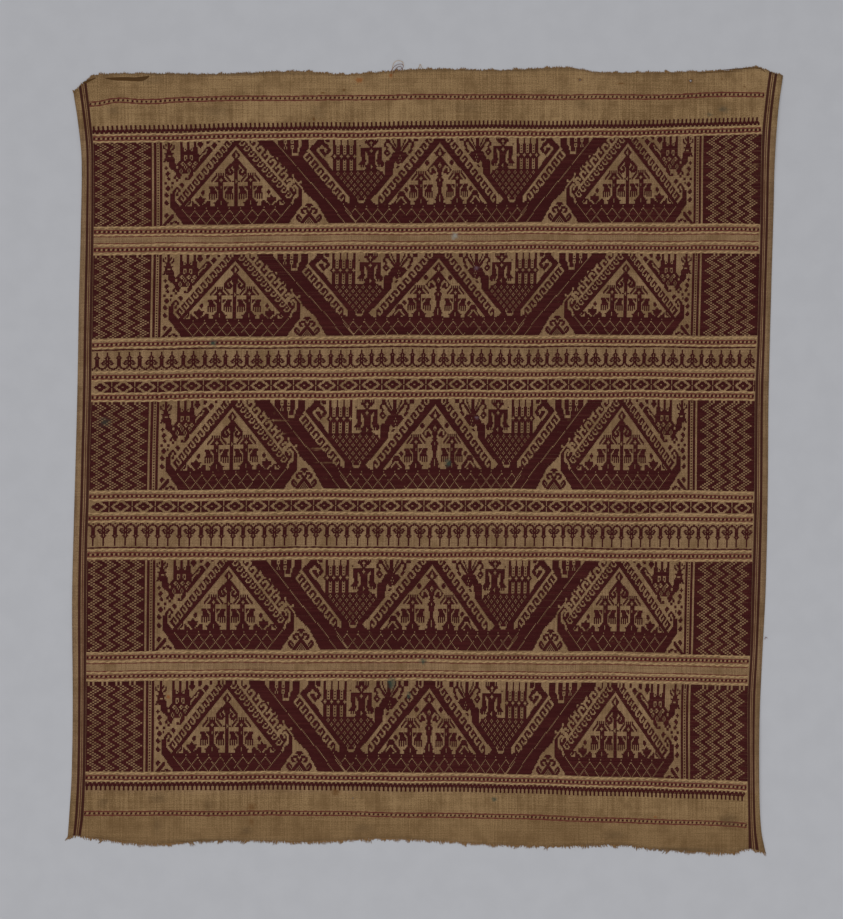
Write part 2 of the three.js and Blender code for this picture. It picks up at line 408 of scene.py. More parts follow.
def small_gable(d, p):
    with d.mirrored(123.6):
        d.area("123.6,-6 123.6,4.2 78.6,49 75.2,49 75.8,46.8 72.2,43.2 115.2,0 121,-6")
    p.row_of_hooks(12, (-4, 4.05), "119.6,-5.7 123.6,-1.7", "123.7,-1.5 121.3,0.5 119.2,-1.6",
                   widths=(1.5, 1.2))
    p.row_of_stamps(12, (4.07, 3.99), (122, -5), GABLE_HOOK)
    with d.mirrored(123.6):
        p.area("123.6,4.2 123.6,48.8 79.4,48.8")
        # the hooked tree between the two figures
        d.diamond(123.6, 11, 4.2, 3.8)
        d.box(122.3, 12, 123.6, 49)
        d.line(2.2, "123.6,14.2 114.9,22.4 118,25.5 120.6,23.4 119.2,21.9")
        d.area("123.6,16.6 120.9,18.4 120.6,20.4 122,22 123.6,22")
        d.diamond(123.6, 30.6, 3.4, 2)
        # bud and plume at the foot of each leg
        d.diamond(94.8, 38.8, 1.9, 2.4)
        d.area("92.4,40.8 94.2,43.4 96.6,43 96.4,46 93.6,48.8 91,48.8 88.4,46 88.2,43.2 90.6,43.4")
        p.line(1.7, "86.2,44.6 91,48.6")
        p.line(1.7, "98.6,44.8 94.4,48.6")
        d.area("99.6,44.6 100.6,44.6 101,49 93,49")
        d.area("79,49 81.6,46.8 83.4,44.4 85.6,45.4 91,49")
        p.area("81,48.6 83.6,47.4 84.4,44.4 85,48.6")
    p.diamond(123.6, 11, 1.3, 1.8)
    p.diamond(123.6, 30.6, 1.1, 1.3)
    for c in (110.5, 136.5):
        figure(d, p, c)


def small_hull(d, p):
    with d.mirrored(124):
        d.area("65.8,40 69.4,37 69.6,44 73.8,48.6 124,48.8 124,63.2 77,63.2 75.3,60 65.8,49")
    # left prow, a hook that curls back on itself
    d.area("66.4,41 68.4,37 71,34 72.7,34.1 75.6,37.2 73.3,38.6 72.8,41 71.6,41 70.4,39.2 69.6,41")
    p.line(1.5, "72.3,36.4 71.2,38.7")
    p.area("69.6,38.8 70.6,39.2 71.6,41.2 73,41.2 72.2,43.2 75.8,46.8 75,49 73.6,48.4 69.7,44")
    # right prow, with a pale curl inside it
    d.area("171.6,36 174.6,32.6 177.2,32.4 181,36.2 182.4,39.4 182.4,49.4 170,49.4 174.4,42.4 170.6,38.4")
    p.line(2, "173.4,35.6 176.4,34.9 178.4,37.4 178.3,41.6 175,43.4 173.4,47.6")
    p.line(1.7, "173.8,35.6 174.9,38.1")
    p.diamond(177.6, 42, 1.6)
    hull_lattice(p, 82.5, 163.2, 8)
    p.line(1, "76.2,51.2 82.5,57.5")
    p.line(1, "163.2,57.5 171.4,49.6")


def crossed_hooks(d, p):
    """Two pairs of hooks under a cap, on a foot with a lattice of pale dots."""
    with d.counted_from(188.5), d.mirrored(0):
        d.area("0,48 -2.3,48.2 -3.9,49.9 -1,50.6 0,51.8")
        d.line(2, "0,55.4 -2.6,52.2 -4.9,51.9 -6.9,53.7 -4.9,55.3")
        d.area("0,55 -1.4,55.8 -7.6,61.6 -7.6,63 0,63")
        d.line(2, "-7,62 -11,58.7 -9.2,57 -7,58.8")
        for row in range(58, 63):
            for step in range(row - 58, -1, -2):
                p.dot(step, row)


def great_ship(d, p):
    # the square spiral at the head of the beam
    p.area("202.4,-1 210.4,-1 210.4,3 208.6,5.2 202,1.8")
    d.area("202.8,-1 207.4,-1 206.6,1.6 203.6,1.6")
    p.area("207.6,3 210.4,3 210,11 207.8,12 210,14 210,24 201.6,13.6 206.6,9.8 208.6,8 205.6,4.8")
    p.line(2, "203.4,9 203.6,7.6 199.9,5 195.9,8 200.4,12.2 204,15")
    # the posts with their pale caps, dotted columns and small eyes
    for c in (214.6, 220.6, 226.6):
        p.box(c - 2.2, -1, c + 2.4, 4)
        p.box(c - 1.5, 4, c + 1.6, 10.6)
        p.box(c - 1.5, 14.6, c + 1.6, 22.8)
        for r in (5, 7, 9, 15, 17, 19, 21):
            d.dot(c, r)
    for c in (211.6, 217.6, 223.6, 229.6):
        p.diamond(c, 12.4, 1.6, 2)
    robed_figure(d, p)
    # the feathers of the body, a triangle of small eyes
    for row, count in enumerate((7, 7, 6, 5, 4, 3, 2)):
        for i in range(count):
            p.eye(214.5 + 3 * row + 6 * i, 25.5 + 3 * row, 1.9, 0.8)
    p.area("231.6,44.4 233.4,46 235.6,45.6 237.6,46 239.6,44.4 238.6,47.4 236.8,48.4 234,48.4 232.4,47.2")


def robed_figure(d, p):
    p.box(231.4, -1, 257.8, 4)
    p.area("231.5,-1 235.2,6 235,11.8 236.2,15 233.4,17.6 233.6,19.6 235.4,19.4 235.2,21 239.6,21.4 "
           "239.4,22.6 231.5,22.8")
    p.area("254,4 257.6,4 261.6,13 257.4,16.8 257,28 254.6,24.4 249,22 249.6,20.6 253.4,20.6 256,20.4 "
           "256,17 253.6,14.8 254,11")
    d.area("238.6,-1 250.6,-1 250.6,2.2 247.6,4.2 246.6,6.4 242.6,6.4 241.6,4.2 238.6,2.2")
    for ray in (239.5, 241.5, 247.5, 249.5):
        p.dot(ray, 0)
    with d.mirrored(244.6):
        p.line(1.5, "235.4,5.2 242.2,5.2")
        p.area("238.6,8 240,9 241.6,12 241.6,18 239.6,20.4 239.4,17.6 240.2,15.4 238.8,14")
        for finger in (236.2, 238.2):
            p.box(finger - 0.5, 18.6, finger + 0.5, 21)
    p.diamond(244.6, 2.6, 1.3, 2.1)
    p.diamond(244.6, 8.6, 1.3, 1.8)
    p.diamond(244.6, 20.6, 1.1, 2)


def bird_head(d, p):
    p.area("254.5,4 262.6,-1 306.5,-1 306.5,2 290,18 246,48 264.4,26 264.5,17.6 267,16 259.8,16 257,15")
    d.area("264.8,9.6 274.8,9.6 280.2,14.8 277.6,16.9 275.4,17.6 273.2,17.6 272.8,19 271.6,19 271.4,17.8 "
           "270.2,17.8 269.8,19 268.4,19 268,17.6 266.4,17.4 264.6,18.6 264.4,26.4 258,33 257.4,17.2 "
           "260.4,15.8")
    for c, r in ((270.5, 12), (269.5, 14), (271.5, 14), (270.5, 16)):
        p.dot(c, r)
    with d.mirrored(269.6):
        d.box(268.3, -1, 269.6, 10)
        d.line(1.9, "267.4,9.8 260.2,1.3 257.5,2.7 256.9,4.7 258.6,6.2")
        d.line(0.9, "267.8,7.4 262.9,-0.6")
    for c in (258.9, 280.8):
        d.eye(c, 10.3, 3.2, 0.9)
    d.box(283.2, -1, 287, 2.4)
    d.diamond(269.1, 21.5, 2.3)
    d.box(270.4, 21, 271.8, 22)


def great_gable(d, p):
    with d.mirrored(SHIP_MIDDLE):
        d.area("307.1,-6 307.1,2.2 261.6,47.2 259.8,49.4 252,49.4 249.4,45 246.9,47 292.9,1 299,-6")
        p.line(2.4, "293.5,-1 248.4,44")
        p.area("248.6,41.6 250.8,44 251.6,48.4 249.4,49.6 243.6,45.4")
        p.row_of_hooks(11, (-4.9, 4.95), "301.9,-8.2 305.5,-5.1", "305.6,-4.7 303.3,-2.2 301.2,-4.3")
        p.area("307.1,2.2 307.1,49 259.6,49")
        # the hooked tree under the ridge
        d.diamond(306.5, 10.6, 5.2, 4.6)
        d.diamond(294.9, 17.9, 2.2, 2.4)
        d.area("307.1,12.8 305.4,13.6 296.6,22 295,23.8 298.6,27.4 301.4,25.6 304.9,28.4 307.1,28.4")
        p.line(1.7, "297.8,24.5 298.5,21.9 300.9,20.9 302.8,22.6 303.9,26 303.4,28.6")
        d.diamond(306.5, 31, 4.6, 3.4)
        d.area("307.1,32 303.6,33.2 304.8,36.4 304.8,40.6 301.9,45.6 303.1,47.2 300.3,49 307.1,49")
    p.diamond(306.5, 10.6, 1.9, 2.2)
    p.eye(306.5, 20.4, 1.9, 0.7)
    p.diamond(306.5, 31.2, 1.1, 1.2)
    p.diamond(306.5, 43.4, 0.7, 1.2)
    p.diamond(306.5, 46.2, 0.9, 1.2)
    figure(d, p, 289.5)
    # the small roof at the foot of the leg
    d.diamond(276.1, 37.7, 2.4)
    d.area("270,39 273.6,39 276,42.6 280,47 280,49 259.6,49 264,48.6 267.6,44.4")
    d.area("264.6,47.6 268.4,44.2 270,39.2 270,43 268,49 262,49")
    p.line(1.5, "271,43.6 272.6,43.6 276,47.4")
    p.line(1.5, "270.8,43.8 267.4,47.4")
    p.box(273.4, 48, 274.6, 49.4)


def great_hull(d, p):
    d.box(224, 48.8, 307.1, 63.2)
    hull_lattice(p, 225.1, 306.5, 8)
    p.line(0.7, "225.1,57.5 221.4,53.8")
    p.line(0.7, "219.2,48.6 231,62.2")


def ship_band_draft():
    """A whole ship band: two small ships beside a great one, the striped edges and the two zigzag panels."""
    d = Draft(FIELD_CELLS, SHIP_ROWS)
    for motif in (stern_beam, plume_and_small_bird, small_gable, small_hull, loose_fillers, crossed_hooks,
                  great_ship, bird_head, great_gable, great_hull):
        motif(d, d.pale)
    # the right half is the left one turned over
    middle = int(SHIP_MIDDLE)
    d.grid[:, middle + 1:2 * middle + 1] = d.grid[:, middle - 1::-1][:, :middle]
    d.grid[:, :SHIP_START] = PALE
    d.grid[:, SHIP_END:] = PALE
    zigzag_panel(d, 0, 50, -1, 5)
    zigzag_panel(d, 563, FIELD_CELLS, 566, 0)
    with d.mirrored(SHIP_MIDDLE):
        d.box(52, 0, 54, SHIP_ROWS)
        d.box(57, 0, 59, SHIP_ROWS)
        for row in range(0, SHIP_ROWS, 2):
            d.dot(55.5, row)
    return d.grid


def zigzag_panel(d, start, end, first, turn):
    """Dark ground with four zigzag columns of pale dots, two to a row, that turn back every fourth row."""
    d.box(start, 0, end, SHIP_ROWS)
    for row in range(SHIP_ROWS):
        swing = 2 * abs((row + turn) % 8 - 4)
        for column in range(first + swing, first + swing + 4 * 12, 12):
            for left in (column, column + 4):
                d.pale.box(max(left, start + 1), row, min(left + 2, end), row + 1)


def spear_draft(rows):
    """A row of spears on arches, every second one a bud between two curls; rows are counted from the foot."""
    d = Draft(FIELD_CELLS, rows)
    pitch = 9.35
    for i in range(int(FIELD_CELLS / pitch)):
        with d.counted_from(round(4 + pitch * i) + 0.5, rows), d.mirrored(0):
            d.box(-0.5, -rows, 0.5, -10)
            d.dot(0, -1)
            d.box(-1.5, -11, -0.5, -9)
            d.box(-2.5, -10, -1.5, -8.6)
            d.line(1.7, "1,-3.2 2.4,-1.8 4.7,-0.7")
            if i % 2:
                d.line(1.5, "1.6,-7.4 2.6,-7.4 4.3,-5.6 3,-4.4")
                d.dot(1, -9)
                d.diamond(0, -5.5, 2.2, 2.6)
                d.box(-1.5, -4, 1.5, -2.5)
                d.pale.dot(0, -6)
            else:
                d.box(-1.5, -8.5, 1.5, -2.5)
    return d.grid


def star_draft():
    """Dark diamonds with a pale eye between paired dark wedges."""
    rows, pitch = 9, 20
    d = Draft(FIELD_CELLS, rows)
    for i in range(FIELD_CELLS // pitch + 1):
        with d.counted_from(7.5 + pitch * i):
            d.area("2.9,0 17.1,0 11.3,4.5 17.1,9 2.9,9 8.7,4.5")
            d.pale.box(9.4, 0, 10.6, 3.6)
            d.pale.box(9.4, 5.4, 10.6, 9)
            d.diamond(0, 4.5, 5.4, 3.9)
            d.pale.box(-1, 4, 1, 5)
    return d.grid


def teeth_draft():
    """Fine teeth that stand on a row of small arches."""
    d = Draft(FIELD_CELLS, len(TOOTH))
    pitch = len(TOOTH[0])
    d.row_of_stamps(FIELD_CELLS // pitch, (pitch, 0), (0, 0), TOOTH)
    return d.grid


def curve_through(stations, places):
    """Smooth curve through stations (place, level), read at an array of places."""
    rows = np.array(stations, dtype=float)
    rows = rows[rows[:, 0].argsort()]
    place, level = rows[:, 0], rows[:, 1]
    last = len(rows) - 1
    i = np.clip(np.searchsorted(place, places, side="left") - 1, 0, last - 1)
    before, after = np.maximum(i - 1, 0), np.minimum(i + 2, last)
    span = place[i + 1] - place[i]
    t = np.clip((places - place[i]) / span, 0, 1)
    slope_in = (level[i + 1] - level[before]) / (place[i + 1] - place[before])
    slope_out = (level[after] - level[i]) / (place[after] - place[i])
    eased = t * t * (3 - 2 * t)
    bend_in = slope_in * span * t * (1 - t) ** 2
    bend_out = slope_out * span * t * t * (1 - t)
    return level[i] + (level[i + 1] - level[i]) * eased + bend_in - bend_out


def place_in_panel(u, v):
    """Millimetres across and along the cloth for fractions of the panel, blended from its four edges."""
    left = LOWER_LEFT[1] + (UPPER_LEFT[1] - LOWER_LEFT[1]) * v
    right = LOWER_RIGHT[1] + (UPPER_RIGHT[1] - LOWER_RIGHT[1]) * v
    lower = LOWER_LEFT[0] + (LOWER_RIGHT[0] - LOWER_LEFT[0]) * u
    upper = UPPER_LEFT[0] + (UPPER_RIGHT[0] - UPPER_LEFT[0]) * u
    turned = [corner[::-1] for corner in (LOWER_LEFT, UPPER_LEFT, LOWER_RIGHT, UPPER_RIGHT)]
    left_x = curve_through((turned[0], *LEFT_SELVEDGE, turned[1]), left)
    right_x = curve_through((turned[2], *RIGHT_SELVEDGE, turned[3]), right)
    lower_y = curve_through((LOWER_LEFT, *LOWER_END, LOWER_RIGHT), lower)
    upper_y = curve_through((UPPER_LEFT, *UPPER_END, UPPER_RIGHT), upper)
    x = (1 - v) * lower + v * upper + (1 - u) * left_x + u * right_x
    y = (1 - v) * lower_y + v * upper_y + (1 - u) * left + u * right
    for corner, share in ((LOWER_LEFT, (1 - u) * (1 - v)), (LOWER_RIGHT, u * (1 - v)),
                          (UPPER_LEFT, (1 - u) * v), (UPPER_RIGHT, u * v)):
        x = x - corner[0] * share
        y = y - corner[1] * share
    return x, y


def soft_mound(across, along):
    """1 in the middle, falling smoothly to 0 at a distance of 1."""
    return 0.5 + 0.5 * np.cos(np.pi * np.minimum(np.hypot(across, along), 1))


def swell_at(x, y):
    """How far the cloth stands off the surface, in millimetres."""
    height = np.zeros(np.shape(x))
    for middle_x, middle_y, across, along, turn, rise in SWELLS:
        angle = math.radians(turn)
        dx, dy = x - middle_x, y - middle_y
        height += rise * soft_mound((dx * math.cos(angle) + dy * math.sin(angle)) / across,
                                    (dy * math.cos(angle) - dx * math.sin(angle)) / along)
    return height


def on_weft(cell, level):
    """Millimetres across and along the cloth for a pattern cell, and for a level given at mid cloth."""
    share = np.interp(cell, *zip(*CELL_SHARES))
    stations, hang_left, hang_right = zip(*WEFT_BOW)
    bow_left, bow_right = np.interp(level, stations, hang_left), np.interp(level, stations, hang_right)
    y = level - bow_left * 2 * (share - 0.5) * (share - 1) - bow_right * 2 * share * (share - 0.5)
    left, right = curve_through(FIELD_LEFT, y), curve_through(FIELD_RIGHT, y)
    x = left + (right - left) * share
    wander = 0.28 * np.sin(x / 31 + level / 47) + 0.2 * np.sin(x / 13.7 - level / 29 + 1.3)
    for middle_x, middle_y, across, along, pull in PULLS:
        wander = wander + pull * soft_mound((x - middle_x) / across, (y - middle_y) / along)
    return x, y + wander


class Value:
    """A number that varies over a surface, so that shader maths reads as Python."""

    def __init__(self, shader, socket):
        self.shader, self.socket = shader, socket

    def maths(self, operation, *values):
        return self.shader.node("ShaderNodeMath", {"operation": operation}, *values)

    def __add__(self, other):
        return self.maths("ADD", self, other)

    def __sub__(self, other):
        return self.maths("SUBTRACT", self, other)

    def __rsub__(self, other):
        return self.maths("SUBTRACT", other, self)

    def __mul__(self, other):
        return self.maths("MULTIPLY", self, other)

    def __abs__(self):
        return self.maths("ABSOLUTE", self)

    def sine(self):
        return self.maths("SINE", self)

    def above(self, edge):
        return self.maths("GREATER_THAN", self, edge)

    def between(self, low, high):
        """0 up to low, 1 from high on, and a soft step from one to the other."""
        settings = {"interpolation_type": "SMOOTHSTEP"}
        return self.shader.node("ShaderNodeMapRange", settings, self, low, high)

    __radd__ = __add__


class Shader:
    """The nodes of one material."""

    def __init__(self, name):
        self.material = bpy.data.materials.new(name)
        self.material.use_nodes = True
        self.tree = self.material.node_tree
        self.tree.nodes.clear()
        self.place = self.node("ShaderNodeTexCoord", output="Object")

    def node(self, kind, settings=None, *values, output=0, **named):
        node = self.tree.nodes.new(kind)
        for name, setting in (settings or {}).items():
            setattr(node, name, setting)
        for key, value in [*enumerate(values), *named.items()]:
            if value is None:
                continue
            socket = node.inputs[key if isinstance(key, int) else key.replace("_", " ")]
            if isinstance(value, Value):
                self.tree.links.new(value.socket, socket)
            else:
                socket.default_value = value
        return Value(self, node.outputs[output])

    def attribute(self, name):
        return self.node("ShaderNodeAttribute", {"attribute_name": name}, output="Fac")

    def vector(self, operation, *values, output=0):
        return self.node("ShaderNodeVectorMath", {"operation": operation}, *values, output=output)

    def noise(self, across, along, detail=2.0, roughness=0.5):
        """Noise with its own scale across and along the cloth."""
        place = self.vector("MULTIPLY", self.place, (across, along, 0))
        return self.node("ShaderNodeTexNoise", None, Vector=place, Scale=1.0, Detail=detail,
                         Roughness=roughness)

    def mix(self, share, first, second):
        """A colour between two, by a share from 0 to 1."""
        for_numbers = [None] * 5
        return self.node("ShaderNodeMix", {"data_type": "RGBA"}, share, *for_numbers, first, second, output=2)

    def spot(self, x, y, across, along):
        """1 inside an oval with a ragged edge, 0 well outside it; millimetres on the cloth."""
        away = self.vector("SUBTRACT", self.place, (x * MM, y * MM, 0))
        away = self.vector("MULTIPLY", away, (1 / (across * MM), 1 / (along * MM), 0))
        away = self.vector("LENGTH", away, output="Value")
        return 1 - (away + self.ragged * 2.2).between(1.1, 2.2)

    def stained(self, colour):
        """The colour with the marks that age has left on the cloth."""
        self.ragged = self.noise(330, 380, 4, 0.75)
        for kind, *marks in STAINS:
            for *oval, strength in marks:
                colour = self.mix(self.spot(*oval) * strength, colour, STAIN_COLOURS[kind])
        return colour

    def finish(self, colour, roughness, height, depth, sheen=0.03, cover=None):
        """Ends the material: height is the relief, depth its size in metres, cover 0 in a hole."""
        normal = self.node("ShaderNodeBump", None, Strength=1.0, Distance=depth, Height=height)
        cloth = self.node("ShaderNodeBsdfPrincipled", None, Base_Color=colour, Roughness=roughness,
                          Normal=normal, Alpha=cover, Specular_IOR_Level=0.06, Sheen_Weight=sheen,
                          Sheen_Roughness=0.6)
        out = self.tree.nodes.new("ShaderNodeOutputMaterial")
        self.tree.links.new(cloth.socket, out.inputs[0])
        return self.material


def dye(*levels):
    """A colour of a screen, red, green and blue from 11 to 255, as the shader's linear colour."""
    return (*[((level / 255 + 0.055) / 1.055) ** 2.4 for level in levels], 1)


TAN = dye(155, 123, 84)
TAN_DARK = dye(116, 88, 56)
TAN_LIGHT = dye(184, 151, 108)
CREAM = dye(174, 143, 103)
MAROON = dye(60, 20, 20)
MAROON_FADED = dye(84, 37, 34)
ROSE = dye(100, 47, 42)
STAIN_COLOURS = {
    "green": dye(56, 72, 62), "rust": dye(108, 70, 34), "orange": dye(150, 84, 36),
    "worn": dye(160, 156, 146), "violet": dye(128, 104, 112), "bare": dye(128, 98, 68),
    "soil": dye(92, 72, 50), "smudge": dye(88, 82, 66),
}
# Stripes woven into each selvedge: middle and half width as shares of the way to the field, and the dye.
SELVEDGE_STRIPES = ((0.49, 0.095, MAROON), (0.69, 0.035, MAROON_FADED), (0.88, 0.1, MAROON))


def ground_material():
    """Hand-spun cotton in plain weave: uneven yarns, browned with age, with the striped selvedges."""
    s = Shader("cotton_ground")
    axes = [s.node("ShaderNodeSeparateXYZ", None, s.place, output=i) for i in range(2)]
    warp_pitch, weft_pitch = 0.62 * MM, 0.66 * MM
    drift = s.noise(90, 90, 1) * 5
    across = (axes[0] * (math.pi / warp_pitch) + drift).sine()
    along = (axes[1] * (math.pi / weft_pitch) + drift).sine()
    over = (across * along).above(0)
    yarns = abs(across) * over + abs(along) * (1 - over)
    warp_streaks = s.noise(700, 14, 2)
    weft_streaks = s.noise(16, 800, 2)
    slubs = s.noise(160, 900, 2, 0.6)
    clouds = s.noise(11, 11, 4, 0.6)
    grime = s.noise(55, 45, 4, 0.65)
    grain = s.noise(900, 1050, 2, 0.7)
    tone = grain * 1.2 + warp_streaks * 0.7 + weft_streaks * 0.5 + clouds * 0.7
    colour = s.mix(tone.between(1.15, 1.9), TAN_DARK, TAN_LIGHT)
    lower_end = 1 - axes[1].between(-0.375, -0.3)
    colour = s.mix(lower_end * 0.45, colour, TAN_DARK)
    in_field = 1 - abs(axes[1]).between(0.312, 0.322)
    colour = s.mix(in_field * 0.25, colour, dye(136, 104, 92))
    colour = s.mix(grime.between(0.42, 0.7) * 0.6, colour, TAN_DARK)
    # painted shade: darker where the yarns dip between their crowns, in the hollows of the weave
    colour = s.mix((1 - yarns) * 0.25, colour, TAN_DARK)
    for side in ("from_left", "from_right"):
        at = s.attribute(side)
        for middle, half, thread in SELVEDGE_STRIPES:
            inside = 1 - abs(at - middle).between(half * 0.75, half * 1.25)
            colour = s.mix(inside * 0.93, colour, thread)
    colour = s.stained(colour)
    cover = 1
    for x, y, size in HOLES:
        colour = s.mix(s.spot(x, y, size * 2, size * 2) * 0.6, colour, STAIN_COLOURS["rust"])
        cover = cover - s.spot(x, y, size, size)
    relief = yarns * 0.6 + weft_streaks * 0.7 + slubs * 0.5 + warp_streaks * 0.4
    return s.finish(colour, 0.86 + weft_streaks * 0.1, relief, 0.25 * MM, cover=cover)


def yarn_material(name, plain, faded, wear):
    """Pattern weft: each float has its own tone, with the twist of its plies and the wear of its crown."""
    s = Shader(name)
    tone = s.attribute("tone")
    fibres = s.noise(500, 2600, 2, 0.6)
    fading = s.noise(9, 7, 4, 0.65)
    rubbed = s.noise(120, 160, 3, 0.7)
    colour = s.mix((tone * 0.5 + fading * 0.6 - 0.2).between(0.15, 1.05), plain, faded)
    colour = s.mix(fibres.between(0.45, 0.8) * 0.35, colour, faded)
    colour = s.mix(rubbed.between(0.6, 0.85) * wear, colour, TAN_DARK)
    colour = s.stained(colour)
    return s.finish(colour, 0.8 + fibres * 0.15, fibres + rubbed * 0.5, 0.2 * MM)


def make_piece(name, points, quads, material, attributes):
    """A mesh object from arrays, in millimetres, that rides on the cloth's one body."""
    mesh = bpy.data.meshes.new(name)
    mesh.vertices.add(len(points))
    mesh.vertices.foreach_set("co", (points * MM).astype(np.float32).ravel())
    corners = quads.ravel().astype(np.int32)
    mesh.loops.add(len(corners))
    mesh.loops.foreach_set("vertex_index", corners)
    mesh.polygons.add(len(quads))
    mesh.polygons.foreach_set("loop_start", np.arange(0, len(corners), 4, dtype=np.int32))
    mesh.polygons.foreach_set("use_smooth", np.ones(len(quads), dtype=bool))
    for label, values in attributes.items():
        mesh.attributes.new(label, "FLOAT", "POINT").data.foreach_set("value", values.astype(np.float32))
    mesh.materials.append(material)
    mesh.update(calc_edges=True)
    mesh.validate()
    piece = bpy.data.objects.new(name, mesh)
    bpy.context.scene.collection.objects.link(piece)
    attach(piece, "root")
    return piece


def make_yarns(name, points, quads, material, tones):
    """A thin one-sided piece, mapped by its place on the cloth, so that no two of its floats share a spot."""
    mesh = make_piece(name, points, quads, material, {"tone": tones}).data
    low, high = points[:, :2].min(axis=0), points[:, :2].max(axis=0)
    corners = np.empty(len(mesh.loops), dtype=np.int32)
    mesh.loops.foreach_get("vertex_index", corners)
    shares = (points[corners, :2] - low) / (high - low)
    mesh.uv_layers.new(name="OFBake").data.foreach_set("uv", shares.astype(np.float32).ravel())


# Millimetres: the underside above the floor, the edges of a float above the ground, its ends dipped into it.
UNDERSIDE = 0.03
FLOAT_EDGE = 0.03
TUCKED = -0.05
# Height of a float as a share of its row, so that floats above each other just touch.
FLOAT_FILL = 1.02
# Cells: how far in from its edge a float reaches its full height, and how many it spans between two stations.
FLOAT_INSET = 0.22
STATION_CELLS = 12
# How far a float spreads past its cells at both ends, in cells.
SPREADS = {"ships": 0.23, "spears": 0.3, "spears_down": 0.3, "stars": 0.18, "teeth": 0.42, "teeth_down": 0.42}
# Cells from one square to the next in the dotted rows.
SQUARE_REPEAT = 4


class Yarns:
    """Gathers crowned strips of yarn, set out by pattern cell and level, into one mesh."""

    def __init__(self, seed):
        self.random = np.random.default_rng(seed)
        self.strips = []

    def strip(self, cells, levels, halves, lifts, tone):
        """One strip along a weft: its stations in cells; levels, half heights and lifts in millimetres."""
        self.strips.append(np.column_stack(np.broadcast_arrays(cells, levels, halves, lifts, tone)))

    def floats(self, draft, kind, top, bottom, crown):
        """A float for each unbroken run of dark cells in a row of the draft."""
        spread = SPREADS[kind]
        pitch = (top - bottom) / len(draft)
        half = pitch / 2 * FLOAT_FILL
        edges = np.diff(np.pad(draft.astype(np.int8), ((0, 0), (1, 1))), axis=1)
        for row, edge in enumerate(edges):
            starts, ends = np.flatnonzero(edge == 1), np.flatnonzero(edge == -1)
            row_tone = self.random.uniform(0.2, 0.8)
            row_lift = crown * self.random.uniform(0.85, 1.15)
            level = top - (row + 0.5) * pitch + self.random.uniform(-0.05, 0.05)
            for start, end in zip(starts, ends):
                count = int((end - start) / STATION_CELLS) + 2
                inner = np.linspace(start + FLOAT_INSET - spread, end - FLOAT_INSET + spread, count)
                tone = row_tone + self.random.uniform(-0.2, 0.2)
                lifts = [TUCKED, *[row_lift] * count, TUCKED]
                self.strip([start - spread, *inner, end + spread], level, half, lifts, tone)

    def squares(self, first, width, level, half, crown):
        """A row of short floats, one in each repeat, no two quite alike."""
        slope = 0.15
        for cell in range(first, FIELD_CELLS - 1, SQUARE_REPEAT):
            middle = cell + self.random.uniform(-0.15, 0.15)
            reach = width / 2 + self.random.uniform(-0.15, 0.1)
            left, right = middle - reach, middle + reach
            cells = [left - slope, left + slope, right - slope, right + slope]
            slant = self.random.uniform(-0.1, 0.3)
            levels = [level - slant, level - slant, level + slant, level + slant]
            self.strip(cells, levels, half, [TUCKED, crown, crown, TUCKED], self.random.uniform(0.2, 0.8))

    def line(self, level, half, crown):
        """One unbroken pattern weft from selvedge stripe to selvedge stripe, a little uneven."""
        cells = np.arange(0, FIELD_CELLS + 0.1, 1.6)
        uneven = 1 + 0.25 * np.sin(cells * 0.9 + level) + self.random.uniform(-0.2, 0.2, len(cells))
        shift = 0.12 * np.sin(cells * 0.37 + level * 2) + self.random.uniform(-0.05, 0.05, len(cells))
        self.strip(cells, level + shift, half * uneven, crown * uneven, 0.5)

    def rib(self, level, half, crown):
        """A soft cord that waves where the warps pull it down, never quite the same twice."""
        cells = np.arange(0, FIELD_CELLS + 0.1, 0.8)
        pace = np.cumsum(self.random.uniform(0.5, 1.0, len(cells)))
        shift = 0.44 * np.sin(pace) + 0.24 * np.sin(pace * 0.47 + level) + 0.14 * np.sin(pace * 0.13 + level)
        bulge = 0.72 + 0.34 * np.sin(pace + 1.9) + self.random.uniform(-0.2, 0.2, len(cells))
        self.strip(cells, level + shift, half * bulge, crown * (bulge + 0.1), 0.5)

    def mesh(self, name, material):
        cells, levels, halves, lifts, tones = np.concatenate(self.strips).T
        tucked = lifts < 0
        x, middle = on_weft(cells, levels)
        sections = []
        for side, rise in ((-1, 0), (0, 1), (1, 0)):
            y = middle + side * halves * np.where(tucked, 0.75, 1)
            lift = np.where(tucked, lifts, FLOAT_EDGE + lifts * rise)
            sections.append(np.column_stack([x, y, swell_at(x, y) + ground_top() + lift]))
        last = np.cumsum([len(strip) for strip in self.strips]) - 1
        first = np.delete(np.arange(len(cells)), last) * 3
        quads = [np.column_stack([a, a + 3, a + 4, a + 1]) for a in (first, first + 1)]
        points = np.stack(sections, axis=1).reshape(-1, 3)
        make_yarns(name, points, np.concatenate(quads), material, np.repeat(tones, 3))


def ribbons(name, routes, material):
    """Thin strips of yarn along free routes; each is an array of rows (across, along, height, half width)."""
    crown_share, tone_step = 0.6, 0.618
    points, quads, tones, count = [], [], [], 0
    for number, route in enumerate(routes):
        ahead = np.gradient(route[:, :2], axis=0)
        side = np.column_stack([-ahead[:, 1], ahead[:, 0]]) / np.hypot(*ahead.T)[:, None]
        for reach, rise in ((-1, 0), (0, 1), (1, 0)):
            flat = route[:, :2] + side * route[:, 3:] * reach
            points.append(np.column_stack([flat, route[:, 2] + rise * route[:, 3] * crown_share]))
        length = len(route)
        for strip in (0, 1):
            a = count + strip * length + np.arange(length - 1)
            quads.append(np.column_stack([a, a + length, a + length + 1, a + 1]))
        count += length * 3
        tones.append(np.full(length * 3, (number * tone_step) % 1))
    make_yarns(name, np.concatenate(points), np.concatenate(quads), material, np.concatenate(tones))


def ground_top():
    return bpy.context.scene.tampan.ground_thickness / MM


